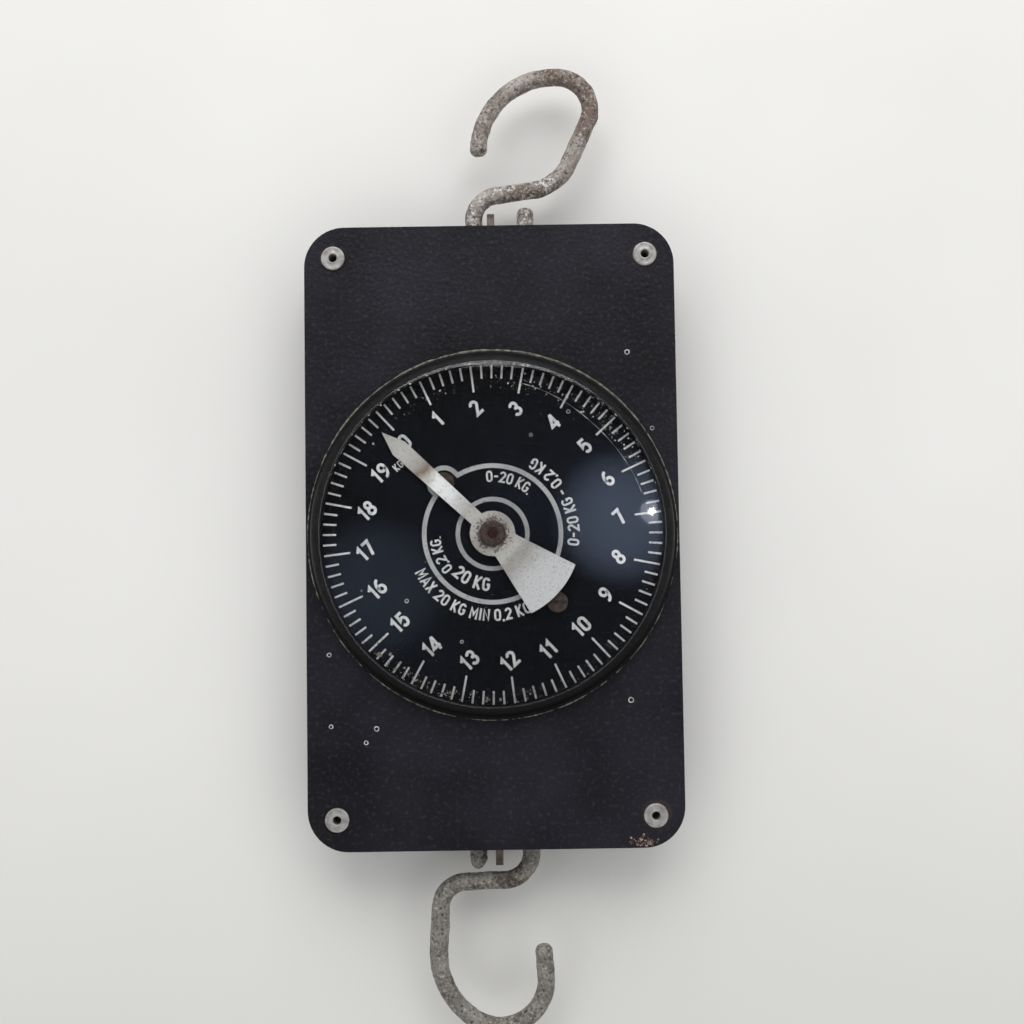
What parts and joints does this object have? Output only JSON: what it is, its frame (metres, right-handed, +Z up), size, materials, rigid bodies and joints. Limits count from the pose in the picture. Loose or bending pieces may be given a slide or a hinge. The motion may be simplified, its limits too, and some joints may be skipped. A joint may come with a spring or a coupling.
{
  "type": "hanging weighing scale",
  "caption": "Flat hanging spring scale: a plated case with a round dial and pointer under a clear window, hung from an open hook above, with a sprung load hook below.",
  "frame": {"origin": "middle of the case's flat back face, on the axis of the dial", "axes": "+X to the right as the dial is read, +Z up towards the hanging hook, +Y out of the flat back, so the dial looks along -Y"},
  "size_m": [0.11, 0.031, 0.2917],
  "materials": {
    "hook_wire": "rough pitted zinc over rust",
    "case_enamel": "black wrinkle enamel",
    "plated_steel": "plated",
    "rivet_metal": "dull",
    "dial_black": "gloss lacquer with a printed scale",
    "rusty_steel": "rusted",
    "clear_window": "clear moulded plastic",
    "brass": "dull",
    "strap_steel": "dull",
    "spring_steel": "oiled",
    "pointer_metal": "satin"
  },
  "bodies": {
    "hanger": {"top_hook": "hook_wire"},
    "case": {"back_plate": "case_enamel", "side_band": "case_enamel", "front_cover": "case_enamel", "corner_spacers": "plated_steel", "hollow_rivets": "rivet_metal", "dial_sheet": "dial_black", "dial_screws": "rusty_steel", "window": "clear_window", "movement_plate": "brass", "movement_pillars": "brass", "arbor_bushes": "brass", "rack_guide": "plated_steel", "top_bar": "strap_steel", "bar_rivets": "rivet_metal", "hanger_strap": "strap_steel", "spring_left": "spring_steel", "spring_right": "spring_steel"},
    "draw": {"crosshead": "strap_steel", "draw_strap": "strap_steel", "rack": "brass"},
    "hand": {"pinion_arbor": "brass", "pointer": "pointer_metal", "pointer_boss": "rusty_steel"},
    "load": {"load_hook": "hook_wire"}
  },
  "joints": [
    {"name": "case_swing", "type": "hinge", "parent": "hanger", "child": "case", "pos_m": [0.0033, -0.011, 0.0963], "axis": [0, 1, 0], "range_deg": [-30, 60]},
    {"name": "load_slide", "type": "slide", "parent": "case", "child": "draw", "axis": [0, 0, -1], "range_m": [0, 0.0318], "stiffness_N_per_m": 6240, "deforming": ["spring_left", "spring_right"]},
    {"name": "pointer_turn", "type": "hinge", "parent": "case", "child": "hand", "pos_m": [0, -0.011, 0], "axis": [0, 1, 0], "range_deg": [0, 365]},
    {"name": "load_swing", "type": "hinge", "parent": "draw", "child": "load", "pos_m": [0.0021, -0.011, -0.095], "axis": [0, 1, 0], "range_deg": [-60, 30]}
  ],
  "couplings": [
    {"joint": "pointer_turn", "follows": "load_slide", "rad_per_m": 200}
  ]
}
